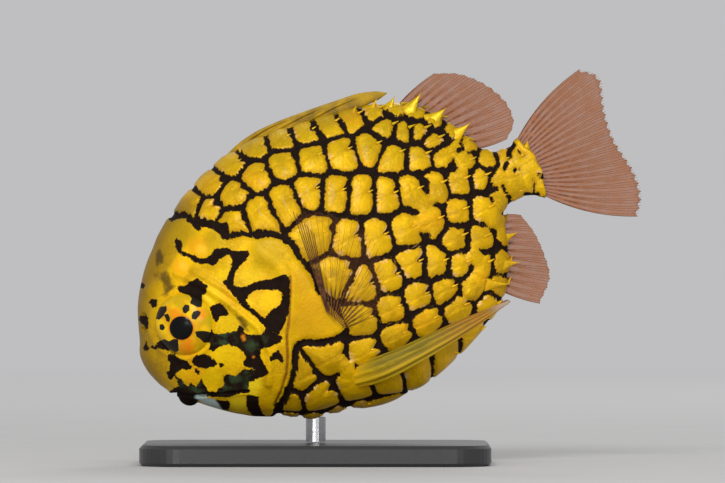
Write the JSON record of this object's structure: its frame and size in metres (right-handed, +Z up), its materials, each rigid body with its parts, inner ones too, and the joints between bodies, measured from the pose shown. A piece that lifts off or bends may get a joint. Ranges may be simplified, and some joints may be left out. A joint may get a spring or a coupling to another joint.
{
  "type": "pineapplefish",
  "caption": "Life-size still model of an armoured reef fish with plated flanks, stout pelvic spines and rayed fins, held head down on a short rod and a flat base.",
  "frame": {"origin": "middle of the whole model's footprint, on the underside of the stand's base", "axes": "+Z up, the snout points to -X and the tail to +X, the fish's left side faces -Y"},
  "size_m": [0.122, 0.058, 0.0951],
  "materials": {
    "plates": "glossy yellow armour with a black net between the plates",
    "eye": "clear cornea over a golden iris and black pupil",
    "fin": "thin clear web between reddish brown rays",
    "spine": "ridged olive bone, paler to the tip",
    "base": "satin black",
    "rod": "fine brushed"
  },
  "bodies": {
    "root": {"head": "plates", "lower_jaw": "plates", "eye_left": "eye", "eye_right": "eye", "trunk": "plates", "tail_stalk": "plates", "spiny_dorsal_fin": "spine", "soft_dorsal_fin": "fin", "anal_fin": "fin", "tail_fin": "fin", "pectoral_fin_left": "fin", "pectoral_fin_right": "fin", "pelvic_spine_left": "spine", "pelvic_spine_right": "spine", "stand_base": "base", "stand_rod": "rod"}
  },
  "joints": []
}
